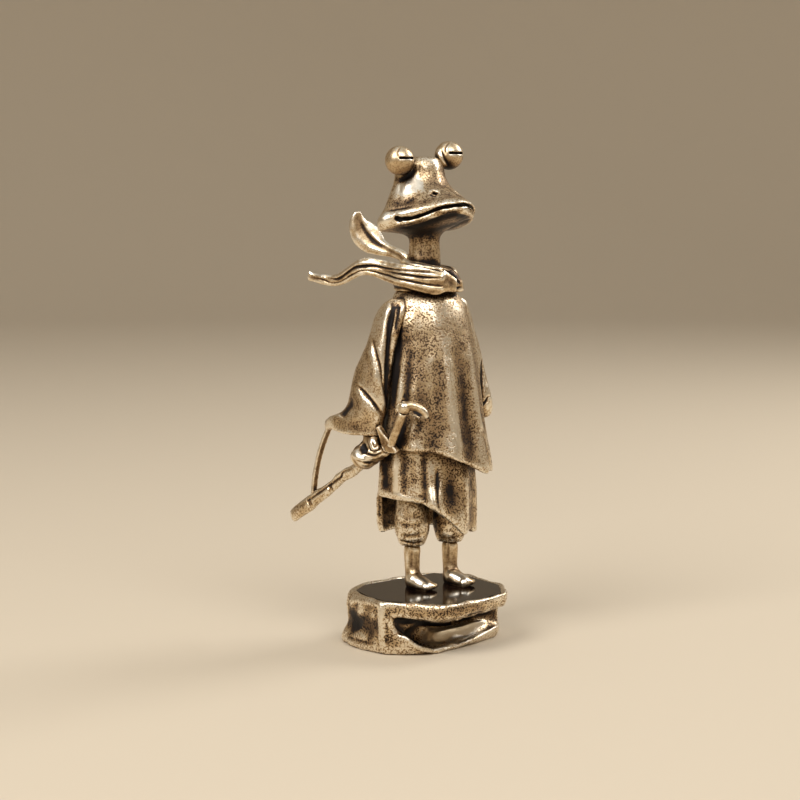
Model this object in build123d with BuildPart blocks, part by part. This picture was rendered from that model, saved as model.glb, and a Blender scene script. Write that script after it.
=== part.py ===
"""Cast brass figurine: a robed frog with a scarf and a sheathed sword, standing on a rock.

Millimetres, +Z up.  The origin is the middle of the rock's flat underside.  The frog faces -Y, so its
right hand is on the -X side.  Each casting is its own solid: tenons drop into sockets and are soldered.
"""

from build123d import *
import os
from math import cos, pi, radians, sin

os.makedirs("parts", exist_ok=True)

# Fits shared by all the castings
solder_gap = 0.05
tenon_radius = 1.0
body_tenon_radius = 2.0
tenon_length = 2.2
pin_radius = 0.5
pin_length = 1.2
overrun = 1.0

# Rock
rock_width = 28.3
rock_depth = 25.4
rock_height = 9.8
rim_width = 1.2
rim_step = 0.25
lacquer_depth = 0.7
cave_floor = 3.4
stone_length = 24.0
stone_height = 2.9

# Stance: where the body's axis stands on the rock, and where the ankles stand about that axis
figure_x = 2.5
figure_y = 3.4
stance = 7.6
stride = 1.9
foot_turn = 7

# Feet and shins
foot_length = 7.8
foot_width = 3.3
foot_height = 2.9
ankle_radius = 1.4
shin_length = 4.9
shin_radius = 1.65
toe_radius = 0.72

# Trousers
cuff_radius = 2.15
trouser_radius = 3.2
trouser_top_radius = 2.6
trouser_length = 12.0

# Under-robe
skirt_width = 18.2
skirt_depth = 16.4
skirt_drop = 10.2
skirt_crown = 8.2
skirt_wall = 0.9
skirt_back = 0.9
skirt_fold = 0.35
skirt_hem_rise = 7.2

# Outer robe
robe_width = 22.4
robe_depth = 20.6
robe_drop = 7.6
robe_rise = 25.8
robe_fold = 0.55
robe_hem_rise = 5.3
hem_heading = 42

# Neck and head
neck_back = 1.8
neck_radius = 2.9
neck_flare = 0.5
neck_length = 10.2
head_width = 19.8
head_reach = 10.6
head_back = 4.6
head_height = 13.8
cheek_back = 1.1
lip_tilt = 14.2
mouth_gape = 0.6
mouth_depth = 0.9
mouth_start = 2.4
nostril_radius = 0.48
nostril_depth = 1.4
nostril_pitch = 50

# Eyes
eye_radius = 2.6
eye_spread = 11.9
eye_slit = 0.42
eye_slit_length = 3.4
eye_slit_depth = 1.1
eye_slit_rise = 0.4

# Scarf
scarf_radius = 6.4
scarf_roll = 0.9
scarf_height = 4.9
scarf_tilt = 7
front_tail_reach = 18.5
front_tail_side = 12.0
front_tail_fall = 4.2
front_tail_width = 3.6
front_tail_thickness = 1.5
back_tail_reach = 16.8
back_tail_side = 3.2
back_tail_lift = 10.6
back_tail_width = 3.3
back_tail_thickness = 1.3

# Sleeves
shoulder_drop = 1.2
sleeve_length = 24.2
sleeve_reach = 11.6
sleeve_sweep = 7.9
sleeve_mouth_width = 6.2
sleeve_mouth_length = 14.4
sleeve_recess = 4.2
sleeve_wall = 0.8
left_sleeve_length = 22.4
left_sleeve_reach = 11.0
left_sleeve_sweep = 1.4
left_sleeve_width = 5.6
left_sleeve_depth = 7.0

# Hand and sword
hand_out = 11.5
hand_back = 2.45
hand_drop = 3.7
fist_radius = 2.5
fist_length = 6.6
fist_lift = 1.0
finger_count = 4
wrist_radius = 1.7
scabbard_width = 2.5
scabbard_thickness = 1.5
scabbard_length = 25.4
scabbard_pitch = 32
scabbard_yaw = 5
guard_span = 4.8
guard_thickness = 1.1
guard_depth = 1.9
guard_cant = 22
grip_radius = 0.75
grip_length = 6.2
grip_pitch = 62
pommel_radius = 1.15
pommel_hook = 4.2
strap_width = 1.2
strap_thickness = 0.55

# Heights, stacked from the rock up
stand_z = rock_height - rim_step
cuff_z = stand_z + foot_height + shin_length
hip_z = cuff_z + trouser_length
skirt_top_z = hip_z + skirt_crown
shoulder_z = skirt_top_z + robe_rise
chin_z = shoulder_z + neck_length
sleeve_top_z = shoulder_z - shoulder_drop
sleeve_mouth_z = sleeve_top_z - sleeve_length
hand_z = sleeve_mouth_z - hand_drop


def level(x, y, z):
    """Horizontal plane at a place about the body's axis."""
    return Plane(origin=(figure_x + x, figure_y + y, z))


def draped(half_width, half_depth, folds, fold_depth, lead):
    """Closed curve of hanging cloth: an ellipse pushed in and out by evenly spaced folds."""
    count = folds * 4
    turns = [2 * pi * i / count for i in range(count)]
    waves = [fold_depth * cos(folds * (turn - radians(lead))) for turn in turns]
    return [((half_width + wave) * cos(turn), (half_depth + wave) * sin(turn))
            for turn, wave in zip(turns, waves)]


def station_planes(points, ups):
    """Planes across a route, one at each of its points, with their x towards the given ups."""
    planes = []
    last = len(points) - 1
    for i, (point, up) in enumerate(zip(points, ups)):
        along = Vector(points[min(i + 1, last)]) - Vector(points[max(i - 1, 0)])
        side = Vector(up) - along * (Vector(up).dot(along) / along.dot(along))
        planes.append(Plane(origin=point, x_dir=side, z_dir=along))
    return planes


# Rock, as rings of facets from the flat underside to the rim.  The front is undercut.
rock_ring_shares = (
    (0.0, ((-0.88, 0.86), (-0.56, 1.0), (0.0, 1.0), (0.72, 0.95), (0.98, 0.45), (1.0, -0.16),
           (0.76, -0.38), (0.22, -0.50), (-0.36, -0.57), (-0.72, -0.40), (-0.94, -0.14), (-1.01, 0.44))),
    (0.13, ((-0.90, 0.85), (-0.57, 1.0), (0.0, 1.02), (0.74, 0.96), (1.0, 0.45), (1.02, -0.18),
            (0.78, -0.44), (0.22, -0.60), (-0.38, -0.68), (-0.76, -0.46), (-0.97, -0.14), (-1.02, 0.42))),
    (0.40, ((-0.84, 0.80), (-0.54, 0.96), (0.02, 0.98), (0.74, 0.92), (0.99, 0.44), (0.99, -0.24),
            (0.72, -0.50), (0.14, -0.62), (-0.42, -0.68), (-0.77, -0.48), (-1.0, -0.14), (-0.95, 0.36))),
    (0.62, ((-0.85, 0.80), (-0.54, 0.98), (0.02, 1.0), (0.75, 0.94), (0.99, 0.44), (0.94, -0.30),
            (0.60, -0.58), (0.04, -0.68), (-0.46, -0.74), (-0.76, -0.50), (-1.0, -0.13), (-0.97, 0.34))),
    (0.72, ((-0.87, 0.80), (-0.54, 1.0), (0.02, 1.01), (0.76, 0.96), (1.01, 0.44), (0.90, -0.41),
            (0.54, -0.84), (-0.04, -0.94), (-0.53, -0.92), (-0.75, -0.53), (-1.0, -0.13), (-0.99, 0.32))),
    (1.0, ((-0.84, 0.76), (-0.52, 0.98), (0.02, 1.0), (0.75, 0.95), (1.0, 0.43), (0.90, -0.43),
           (0.55, -0.89), (-0.04, -1.0), (-0.54, -0.97), (-0.76, -0.54), (-1.0, -0.13), (-0.96, 0.30))),
)


def rock_outline(shares):
    """Facetted outline of the rock at one height."""
    half_width = rock_width / 2
    half_depth = rock_depth / 2
    Polygon(*[(x * half_width, y * half_depth) for x, y in shares], align=None)


def rock_recess():
    """Outline of the lacquered top, inside the rim."""
    rock_outline(rock_ring_shares[-1][1])
    offset(amount=-rim_width, kind=Kind.INTERSECTION, mode=Mode.REPLACE)


ankles = {
    "right": (-stance / 2, stride / 2),
    "left": (stance / 2, -stride / 2),
}

# Cave under the front edge, seen from the front: side and rise.  A rounded stone lies in it.
cave_shares = ((-1.16, 0.74), (-1.0, 0.60), (-0.68, 0.22), (-0.45, 0.07), (-0.10, 0.07), (0.20, 0.13),
               (0.74, 0.26), (1.10, 0.33), (1.10, 0.60), (0.38, 0.57), (-0.20, 0.56), (-0.80, 0.70))
stone_share = 0.12

with BuildPart() as rock_base:
    for rise_share, outline_shares in rock_ring_shares:
        with BuildSketch(Plane.XY.offset(rise_share * rock_height)):
            rock_outline(outline_shares)
    loft(ruled=True)
    with BuildSketch(Plane.XZ.offset(cave_floor)):
        with BuildLine():
            cave = [(side * rock_width / 2, rise * rock_height) for side, rise in cave_shares]
            Polyline(*cave, close=True)
        make_face()
    extrude(amount=rock_depth, mode=Mode.SUBTRACT)
    with BuildSketch(Plane.XZ.offset(cave_floor)):
        with BuildLine():
            stone = EllipticalCenterArc((stone_share * rock_width / 2, stone_height), stone_length / 2,
                                        stone_height, arc_size=180)
            Line(stone @ 0, stone @ 1)
        make_face()
    revolve(axis=Axis((0, -cave_floor, stone_height), (1, 0, 0)))
    split(bisect_by=Plane.XY, keep=Keep.TOP)
    with BuildSketch(Plane.XY.offset(rock_height)):
        rock_recess()
    extrude(amount=-(rim_step + lacquer_depth), mode=Mode.SUBTRACT)
    for x, y in ankles.values():
        with Locations(level(x, y, stand_z)):
            Cylinder(tenon_radius + solder_gap, 2 * (lacquer_depth + tenon_length + solder_gap),
                     mode=Mode.SUBTRACT)

with BuildPart() as rock_top_lacquer:
    with BuildSketch(Plane.XY.offset(stand_z)):
        rock_recess()
    extrude(amount=-lacquer_depth)
    for x, y in ankles.values():
        with Locations(level(x, y, stand_z)):
            Cylinder(tenon_radius + solder_gap, 2 * (lacquer_depth + overrun), mode=Mode.SUBTRACT)

# Foot rings from the sole up: rise, half length, half width, and how far ahead of the ankle
foot_ring_shares = (
    (0.0, 0.455, 0.42, 0.235),
    (0.30, 0.45, 0.48, 0.23),
    (0.62, 0.30, 0.46, 0.11),
)
toe_shares = ((-0.30, 0.60), (0.02, 0.665), (0.33, 0.60))


def build_foot(x, y):
    """Foot with its toes and shin, a tenon below for the rock and one above for the trouser leg."""
    sole = level(x, y, stand_z).rotated((0, 0, foot_turn))
    with BuildPart() as foot:
        for rise_share, length_share, width_share, ahead_share in foot_ring_shares:
            with BuildSketch(sole.offset(rise_share * foot_height)):
                with Locations((0, -ahead_share * foot_length)):
                    Ellipse(width_share * foot_width, length_share * foot_length)
        with BuildSketch(sole.offset(foot_height)):
            Circle(ankle_radius)
        loft()
        for side_share, ahead_share in toe_shares:
            with Locations(sole.offset(toe_radius)):
                with Locations((side_share * foot_width, -ahead_share * foot_length)):
                    Sphere(toe_radius)
        with BuildSketch(sole.offset(foot_height)):
            Circle(ankle_radius)
        with BuildSketch(sole.offset(foot_height + shin_length)):
            Circle(shin_radius)
        loft()
        with Locations(sole.offset(-(lacquer_depth + tenon_length) / 2)):
            Cylinder(tenon_radius, lacquer_depth + tenon_length)
        with Locations(sole.offset(foot_height + shin_length + tenon_length / 2)):
            Cylinder(tenon_radius, tenon_length)
    return foot


# Trouser leg, turned: rise and radius between the cuff and the hip
trouser_swell_shares = ((0.07, 0.80), (0.22, 0.97), (0.40, 1.0), (0.66, 0.90))


def build_trouser(x, y):
    """Full trouser leg gathered at the cuff, a socket for the shin and a tenon for the under-robe."""
    cuff = level(x, y, cuff_z)
    swell = [(share * trouser_radius, rise * trouser_length) for rise, share in trouser_swell_shares]
    with BuildPart() as trouser:
        with BuildSketch(Plane(origin=cuff.origin, x_dir=(1, 0, 0), z_dir=(0, -1, 0))):
            with BuildLine():
                Polyline((trouser_top_radius, trouser_length), (0, trouser_length), (0, 0), (cuff_radius, 0))
                Spline((cuff_radius, 0), *swell, (trouser_top_radius, trouser_length))
            make_face()
        revolve(axis=Axis(cuff.origin, (0, 0, 1)))
        with Locations(cuff):
            Cylinder(tenon_radius + solder_gap, 2 * (tenon_length + solder_gap), mode=Mode.SUBTRACT)
        with Locations(cuff.offset(trouser_length + tenon_length / 2)):
            Cylinder(tenon_radius, tenon_length)
    return trouser


feet = {side: build_foot(*place) for side, place in ankles.items()}
trousers = {side: build_trouser(*place) for side, place in ankles.items()}

# Under-robe rings from its top down to the hem: drop, half width, half depth and fold
skirt_ring_shares = (
    (0.0, 0.90, 0.85, 0.0),
    (0.14, 0.95, 0.90, 0.3),
    (0.38, 0.98, 0.97, 0.6),
    (0.70, 1.0, 1.0, 0.9),
    (1.0, 0.98, 0.99, 1.0),
)
skirt_height = skirt_crown + skirt_drop
skirt_folds = 9
skirt_fold_lead = -118
# The front hem, from the back right to the front left: side and rise
skirt_hem_shares = ((-1.35, 1.10), (-0.80, 1.02), (-0.16, 0.94), (0.28, 0.82), (0.48, 0.60), (0.90, 0.04))

with BuildPart() as under_robe:
    for drop_share, width_share, depth_share, fold_share in skirt_ring_shares:
        with BuildSketch(level(0, skirt_back, skirt_top_z - drop_share * skirt_height)):
            with BuildLine():
                Spline(*draped(width_share * skirt_width / 2, depth_share * skirt_depth / 2, skirt_folds,
                               fold_share * skirt_fold, skirt_fold_lead), periodic=True)
            make_face()
    loft()
    with BuildSketch(level(0, skirt_back, hip_z)):
        Ellipse(skirt_width / 2 - skirt_fold - skirt_wall, skirt_depth / 2 - skirt_fold - skirt_wall)
    extrude(amount=-(skirt_drop + overrun), mode=Mode.SUBTRACT)
    hem_view = Plane(origin=level(0, skirt_back, hip_z - skirt_drop).origin,
                     x_dir=(cos(radians(hem_heading)), -sin(radians(hem_heading)), 0),
                     z_dir=(-sin(radians(hem_heading)), -cos(radians(hem_heading)), 0))
    with BuildSketch(hem_view):
        hem = [(side * skirt_width / 2, rise * skirt_hem_rise) for side, rise in skirt_hem_shares]
        with BuildLine():
            Spline(*hem)
            Polyline(hem[-1], (hem[-1][0], -overrun), (hem[0][0], -overrun), hem[0])
        make_face()
    extrude(amount=skirt_width, mode=Mode.SUBTRACT)
    for x, y in ankles.values():
        with Locations(level(x, y, hip_z)):
            Cylinder(tenon_radius + solder_gap, 2 * (tenon_length + solder_gap), mode=Mode.SUBTRACT)
    with Locations(level(0, skirt_back, skirt_top_z + tenon_length / 2)):
        Cylinder(body_tenon_radius, tenon_length)

# Robe rings from the hem up: rise, half width, half depth, fold, and lean towards the neck
robe_ring_shares = (
    (0.0, 1.0, 1.0, 1.0, -0.17),
    (0.12, 0.95, 0.94, 1.0, -0.22),
    (0.29, 0.87, 0.81, 0.7, -0.33),
    (0.56, 0.80, 0.69, 0.3, -0.33),
    (0.80, 0.745, 0.62, 0.1, 0.17),
    (0.935, 0.645, 0.555, 0.0, 0.60),
    (1.0, 0.49, 0.46, 0.0, 0.95),
)
robe_height = robe_drop + robe_rise
robe_folds = 9
robe_fold_lead = -107
# The hem, from the back right to the front left: side and rise
robe_hem_shares = ((-1.3, 1.04), (-0.55, 1.0), (0.15, 0.91), (0.5, 0.60), (0.78, 0.25), (1.3, -0.10))
robe_hollow_shares = ((0.0, 0.86, 0.87), (1.0, 0.80, 0.76))

with BuildPart() as robe_hollow:
    for rise_share, width_share, depth_share in robe_hollow_shares:
        with BuildSketch(level(0, skirt_back / 2, skirt_top_z - (1 - rise_share) * (robe_drop + overrun))):
            Ellipse(width_share * robe_width / 2, depth_share * robe_depth / 2)
    loft()

with BuildPart() as outer_robe:
    for rise_share, width_share, depth_share, fold_share, lean_share in robe_ring_shares:
        height = skirt_top_z - robe_drop + rise_share * robe_height
        with BuildSketch(level(0, lean_share * neck_back, height)):
            with BuildLine():
                Spline(*draped(width_share * robe_width / 2, depth_share * robe_depth / 2, robe_folds,
                               fold_share * robe_fold, robe_fold_lead), periodic=True)
            make_face()
    loft()
    hem_view = Plane(origin=level(0, 0, skirt_top_z - robe_drop).origin,
                     x_dir=(cos(radians(hem_heading)), -sin(radians(hem_heading)), 0),
                     z_dir=(-sin(radians(hem_heading)), -cos(radians(hem_heading)), 0))
    with BuildSketch(hem_view):
        hem = [(side * robe_width / 2, rise * robe_hem_rise) for side, rise in robe_hem_shares]
        with BuildLine():
            Spline(*hem)
            Polyline(hem[-1], (hem[-1][0], -overrun), (hem[0][0], -overrun), hem[0])
        make_face()
    extrude(amount=robe_width, both=True, mode=Mode.SUBTRACT)
    add(robe_hollow.part, mode=Mode.SUBTRACT)
    with Locations(level(0, skirt_back, skirt_top_z)):
        Cylinder(body_tenon_radius + solder_gap, 2 * (tenon_length + solder_gap), mode=Mode.SUBTRACT)
    with Locations(level(0, neck_back, shoulder_z)):
        Cylinder(body_tenon_radius + solder_gap, 2 * (tenon_length + solder_gap), mode=Mode.SUBTRACT)

# Sleeve rings from the shoulder down: drop, reach, sweep, half width and half length
sleeve_ring_shares = (
    (0.0, 0.58, 0.18, 0.28, 0.22),
    (0.058, 0.65, 0.20, 0.56, 0.40),
    (0.223, 0.75, 0.29, 0.67, 0.47),
    (0.43, 0.85, 0.42, 0.77, 0.51),
    (0.657, 0.925, 0.56, 0.86, 0.59),
    (0.83, 0.965, 0.67, 0.95, 0.66),
    (0.90, 0.985, 0.92, 0.985, 0.91),
    (1.0, 1.0, 1.0, 1.0, 1.0),
)
left_sleeve_ring_shares = (
    (0.0, 0.57, 1.0, 0.40, 0.42),
    (0.062, 0.63, 1.07, 0.80, 0.82),
    (0.24, 0.73, 1.14, 0.92, 0.94),
    (0.46, 0.83, 0.71, 0.96, 0.97),
    (0.71, 0.91, 0.14, 1.0, 1.0),
    (0.91, 0.98, -0.36, 0.97, 0.97),
    (0.975, 1.0, -0.45, 0.78, 0.80),
    (1.0, 1.0, -0.5, 0.50, 0.52),
)
sleeve_tenon_drop_share = 0.2
sleeve_tenon_z = sleeve_top_z - sleeve_tenon_drop_share * sleeve_length
sleeve_tenon_root = sleeve_reach * sleeve_ring_shares[2][1]
sleeve_tenon_reach = sleeve_tenon_root - sleeve_mouth_width / 2 - tenon_length
shoulders = {"right": -1, "left": 1}


def sleeve_tenon(hand, gap):
    """Round tenon from inside a sleeve into the side of the robe."""
    middle = (sleeve_tenon_root + sleeve_tenon_reach) / 2
    with Locations(level(hand * middle, neck_back, sleeve_tenon_z).rotated((0, 90, 0))):
        Cylinder(tenon_radius + gap, sleeve_tenon_root - sleeve_tenon_reach + 2 * gap,
                 mode=Mode.SUBTRACT if gap else Mode.ADD)


with outer_robe:
    for hand in shoulders.values():
        sleeve_tenon(hand, solder_gap)

with BuildPart() as right_sleeve:
    for drop_share, reach_share, sweep_share, width_share, length_share in sleeve_ring_shares:
        with BuildSketch(level(-reach_share * sleeve_reach, sweep_share * sleeve_sweep,
                               sleeve_top_z - drop_share * sleeve_length)):
            Ellipse(width_share * sleeve_mouth_width / 2, length_share * sleeve_mouth_length / 2)
    loft()
    with BuildSketch(level(-sleeve_reach, sleeve_sweep, sleeve_mouth_z)):
        Ellipse(sleeve_mouth_width / 2 - sleeve_wall, sleeve_mouth_length / 2 - sleeve_wall)
    recess_shares = sleeve_ring_shares[-3]
    with BuildSketch(level(-recess_shares[1] * sleeve_reach, recess_shares[2] * sleeve_sweep,
                           sleeve_mouth_z + sleeve_recess)):
        Ellipse(recess_shares[3] * sleeve_mouth_width / 2 - sleeve_wall,
                recess_shares[4] * sleeve_mouth_length / 2 - sleeve_wall)
    loft(mode=Mode.SUBTRACT)
    add(outer_robe.part, mode=Mode.SUBTRACT)
    sleeve_tenon(shoulders["right"], 0)

with BuildPart() as left_sleeve:
    for drop_share, reach_share, sweep_share, width_share, length_share in left_sleeve_ring_shares:
        with BuildSketch(level(reach_share * left_sleeve_reach, sweep_share * left_sleeve_sweep,
                               sleeve_top_z - drop_share * left_sleeve_length)):
            Ellipse(width_share * left_sleeve_width / 2, length_share * left_sleeve_depth / 2)
    loft()
    add(outer_robe.part, mode=Mode.SUBTRACT)
    sleeve_tenon(shoulders["left"], 0)

# Head rings from the chin up: rise, half width, reach ahead and back, and how far tilted with the lips
head_ring_shares = (
    (0.0, 0.34, 0.30, 0.74, 0.2),
    (0.05, 0.73, 0.62, 0.90, 0.7),
    (0.076, 0.96, 0.965, 0.97, 1.0),
    (0.167, 1.0, 1.0, 1.0, 1.0),
    (0.25, 0.955, 0.955, 0.99, 1.0),
    (0.40, 0.79, 0.72, 1.02, 0.85),
    (0.58, 0.63, 0.47, 1.05, 0.4),
    (0.76, 0.52, 0.31, 1.08, 0.0),
    (0.91, 0.465, 0.25, 1.0, 0.0),
    (0.985, 0.33, 0.165, 0.76, 0.0),
    (1.0, 0.17, 0.06, 0.50, 0.0),
)
lip_ring = 3
muzzle_power = 1.21
head_plane = level(0, neck_back, chin_z)
# Half of the mouth line from the corner to the middle: side and rise
mouth_line_shares = ((0.93, -0.012), (0.84, -0.025), (0.73, -0.042), (0.586, -0.026), (0.43, 0.012),
                     (0.27, 0.024), (0.0, 0.028))
nostril_shares = (0.26, 0.51, 0.504)
# The left eye stands higher than the right
eye_rise_shares = {shoulders["right"]: 0.944, shoulders["left"]: 1.021}
eye_peg_pitch = 40


def muzzle(half_width, reach, back):
    """Closed curve around the head, seen from above: pointed ahead of the cheeks and round behind them."""
    count = 24
    points = []
    for turn in [2 * pi * i / count for i in range(count)]:
        across = cos(turn)
        along = sin(turn)
        power = muzzle_power if along < 0 else 1
        length = reach + cheek_back if along < 0 else back - cheek_back
        side = half_width if across > 0 else -half_width
        rise = length if along > 0 else -length
        points.append((side * abs(across) ** power, cheek_back + rise * abs(along) ** power))
    return points


def ring_plane(rise_share, tilt_share):
    """Plane of one ring of the head, raised at the front."""
    return Plane(head_plane * Location((0, 0, rise_share * head_height), (-tilt_share * lip_tilt, 0, 0)))


def build_head_form(inset):
    """Head from the chin to the crown, drawn in evenly by the inset."""
    with BuildPart() as form:
        for rows, flat in ((head_ring_shares[:lip_ring + 1], True), (head_ring_shares[lip_ring:], False)):
            for rise_share, width_share, reach_share, back_share, tilt_share in rows:
                outline = muzzle(width_share * head_width / 2 - inset, reach_share * head_reach - inset,
                                 back_share * head_back - inset)
                with BuildSketch(ring_plane(rise_share, tilt_share)):
                    with BuildLine():
                        Spline(*outline, periodic=True)
                    make_face()
            loft(ruled=flat)
    return form


def at_eyes(hand):
    """Plane at the middle of one eye, square to the head."""
    return Plane(head_plane * Location((hand * eye_spread / 2, 0, eye_rise_shares[hand] * head_height)))


def eye_peg(hand, gap):
    """Peg from an eye towards the middle of the head."""
    with Locations(at_eyes(hand)):
        with Locations(Location((0, 0, 0), (0, -hand * (90 + eye_peg_pitch), 0))):
            with Locations((0, 0, eye_radius)):
                Cylinder(pin_radius + gap, 2 * (pin_length + gap), mode=Mode.SUBTRACT if gap else Mode.ADD)


skull = build_head_form(0)
mouth_core = build_head_form(mouth_depth)

with BuildPart() as mouth_cutter:
    lips = ring_plane(head_ring_shares[lip_ring][0], head_ring_shares[lip_ring][-1])
    mouth = Plane(origin=lips.origin, x_dir=lips.x_dir, z_dir=-lips.y_dir)
    half = [(side * head_width / 2, rise * head_height) for side, rise in mouth_line_shares]
    mouth_line = [(-side, rise) for side, rise in half] + half[-2::-1]
    with BuildSketch(mouth.offset(mouth_start)):
        with BuildLine():
            lower = Spline(*[(side, rise - mouth_gape / 2) for side, rise in mouth_line])
            upper = Spline(*[(side, rise + mouth_gape / 2) for side, rise in mouth_line])
            Line(lower @ 0, upper @ 0)
            Line(lower @ 1, upper @ 1)
        make_face()
    extrude(amount=2 * head_reach)
    add(mouth_core.part, mode=Mode.SUBTRACT)

with BuildPart() as head:
    add(skull.part)
    with BuildSketch(Plane(origin=level(0, neck_back, shoulder_z).origin, x_dir=(1, 0, 0), z_dir=(0, -1, 0))):
        with BuildLine():
            jaw_radius = neck_radius + neck_flare
            Polyline((neck_radius, neck_length / 2), (neck_radius, 0), (0, 0), (0, neck_length + overrun),
                     (jaw_radius, neck_length + overrun))
            Spline((neck_radius, neck_length / 2), (jaw_radius, neck_length + overrun),
                   tangents=((0, 1), (1, 1)))
        make_face()
    revolve(axis=Axis(level(0, neck_back, shoulder_z).origin, (0, 0, 1)))
    with Locations(level(0, neck_back, shoulder_z - tenon_length / 2)):
        Cylinder(body_tenon_radius, tenon_length)
    add(mouth_cutter.part, mode=Mode.SUBTRACT)
    for hand in shoulders.values():
        side_share, ahead_share, rise_share = nostril_shares
        nostril = Location((hand * side_share * head_width / 2, -ahead_share * head_reach, rise_share * head_height),
                           (nostril_pitch, 0, 0))
        with Locations(Plane(head_plane * nostril)):
            Cylinder(nostril_radius, 2 * nostril_depth, mode=Mode.SUBTRACT)
    for hand in shoulders.values():
        with Locations(at_eyes(hand)):
            Sphere(eye_radius + solder_gap, mode=Mode.SUBTRACT)
        eye_peg(hand, solder_gap)


def build_eye(hand):
    """Eyeball with a level slit in front and a peg behind."""
    with BuildPart() as eye:
        with Locations(at_eyes(hand)):
            Sphere(eye_radius)
        eye_peg(hand, 0)
        with Locations(at_eyes(hand)):
            with Locations((0, -eye_radius, eye_slit_rise)):
                Box(eye_slit_length, 2 * eye_slit_depth, eye_slit, mode=Mode.SUBTRACT)
    return eye


eyes = {side: build_eye(hand) for side, hand in shoulders.items()}

# Scarf rolls from the shoulders up: radius and rise of each crease, and of the swell above it
scarf_roll_shares = (
    ((0.86, 0.0), (1.0, 0.20)),
    ((0.86, 0.40), (0.95, 0.55)),
    ((0.78, 0.70), (0.82, 0.85)),
)
scarf_top_shares = (0.60, 1.0)
scarf_axis = level(0, neck_back, shoulder_z).rotated((scarf_tilt, scarf_tilt, 0))

with BuildPart() as scarf_wrap:
    with BuildSketch(Plane(origin=scarf_axis.origin, x_dir=scarf_axis.x_dir, z_dir=-scarf_axis.y_dir)):
        creases = [row[0] for row in scarf_roll_shares] + [scarf_top_shares]
        places = [(reach * scarf_radius, rise * scarf_height) for reach, rise in creases]
        swells = [(reach * scarf_radius, rise * scarf_height) for _, (reach, rise) in scarf_roll_shares]
        with BuildLine():
            Polyline(places[-1], (0, scarf_height), (0, -scarf_roll), (places[0][0], -scarf_roll), places[0])
            for start, swell, end in zip(places, swells, places[1:]):
                ThreePointArc(start, swell, end)
        make_face()
    revolve(axis=Axis(scarf_axis.origin, scarf_axis.z_dir))
    with Locations(level(0, neck_back, shoulder_z)):
        Cylinder(neck_radius + solder_gap, 2 * neck_length, mode=Mode.SUBTRACT)
    split(bisect_by=level(0, neck_back, shoulder_z), keep=Keep.TOP)


gather_share = 0.16


def build_ribbon(points, ups, widths, thicknesses):
    """Blown end of cloth, gathered along its length into strands."""
    count = 24
    turns = [2 * pi * i / count for i in range(count)]
    strands = [1 + gather_share * cos(6 * turn) for turn in turns]
    with BuildPart() as form:
        for plane, width, thickness in zip(station_planes(points, ups), widths, thicknesses):
            with BuildSketch(plane):
                with BuildLine():
                    Spline(*[(width / 2 * cos(turn), thickness / 2 * sin(turn) * strand)
                             for turn, strand in zip(turns, strands)], periodic=True)
                make_face()
        loft()
    return form


upright = (0, 0, 1)
scarf_mid_z = shoulder_z + scarf_height * scarf_roll_shares[1][1][1]
# Front tail, from across the wrap's front to the tip: side, reach, fall, width and thickness
front_tail_shares = (
    (-0.13, -0.363, 0.405, 0.70, 0.40),
    (0.19, -0.358, 0.25, 1.20, 0.95),
    (0.433, -0.253, 0.071, 1.22, 1.05),
    (0.568, -0.085, -0.083, 1.15, 1.05),
    (0.60, 0.154, -0.26, 1.0, 1.0),
    (0.74, 0.37, -0.38, 0.84, 0.95),
    (0.82, 0.54, 0.0, 0.68, 0.85),
    (0.88, 0.71, 0.24, 0.58, 0.75),
    (0.94, 0.86, 0.18, 0.52, 0.60),
    (1.0, 1.0, 0.04, 0.55, 0.40),
)
front_tail_form = build_ribbon(
    [(figure_x - side * front_tail_side, figure_y + neck_back + reach * front_tail_reach,
      scarf_mid_z - fall * front_tail_fall) for side, reach, fall, _, _ in front_tail_shares],
    [upright] * len(front_tail_shares), [row[3] * front_tail_width for row in front_tail_shares],
    [row[4] * front_tail_thickness for row in front_tail_shares])

with BuildPart() as scarf_front_tail:
    add(front_tail_form.part)
    add(scarf_wrap.part, mode=Mode.SUBTRACT)

# Back tail from the wrap to the tip: side, reach, lift, width and thickness, and how its face turns
back_tail_shares = (
    (0.0, 0.34, 0.14, 0.70, 1.0),
    (0.10, 0.52, 0.36, 0.66, 1.0),
    (0.35, 0.74, 0.45, 0.80, 0.95),
    (0.70, 0.90, 0.60, 0.95, 0.85),
    (0.94, 0.98, 0.80, 0.90, 0.70),
    (1.0, 1.0, 1.08, 0.36, 0.40),
)
back_tail_turns = (0, 0, 20, 45, 75, 90)
back_tail_form = build_ribbon(
    [(figure_x - side * back_tail_side, figure_y + reach * back_tail_reach,
      scarf_mid_z + lift * back_tail_lift) for side, reach, lift, _, _ in back_tail_shares],
    [(sin(radians(turn)), -sin(radians(turn)), cos(radians(turn))) for turn in back_tail_turns],
    [row[3] * back_tail_width for row in back_tail_shares],
    [row[4] * back_tail_thickness for row in back_tail_shares])

with BuildPart() as scarf_back_tail:
    add(back_tail_form.part)
    add(scarf_wrap.part, mode=Mode.SUBTRACT)

# Sword line: through the fist, down and back to the scabbard's tip
sword_axis = Plane(origin=level(-hand_out, hand_back, hand_z).origin, x_dir=(1, 0, 0),
                   z_dir=Vector(-sin(radians(scabbard_yaw)) * cos(radians(scabbard_pitch)),
                                cos(radians(scabbard_yaw)) * cos(radians(scabbard_pitch)),
                                -sin(radians(scabbard_pitch))))
fist_start = -fist_length / 2
guard_start = fist_start - guard_depth
# Scabbard rings from its mouth to its tip: along, width and thickness
scabbard_ring_shares = ((0.34, 0.86, 0.96), (0.62, 0.95, 1.0), (0.94, 1.08, 1.0), (1.0, 0.90, 0.75))
scabbard_hold_share = 0.72


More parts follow.
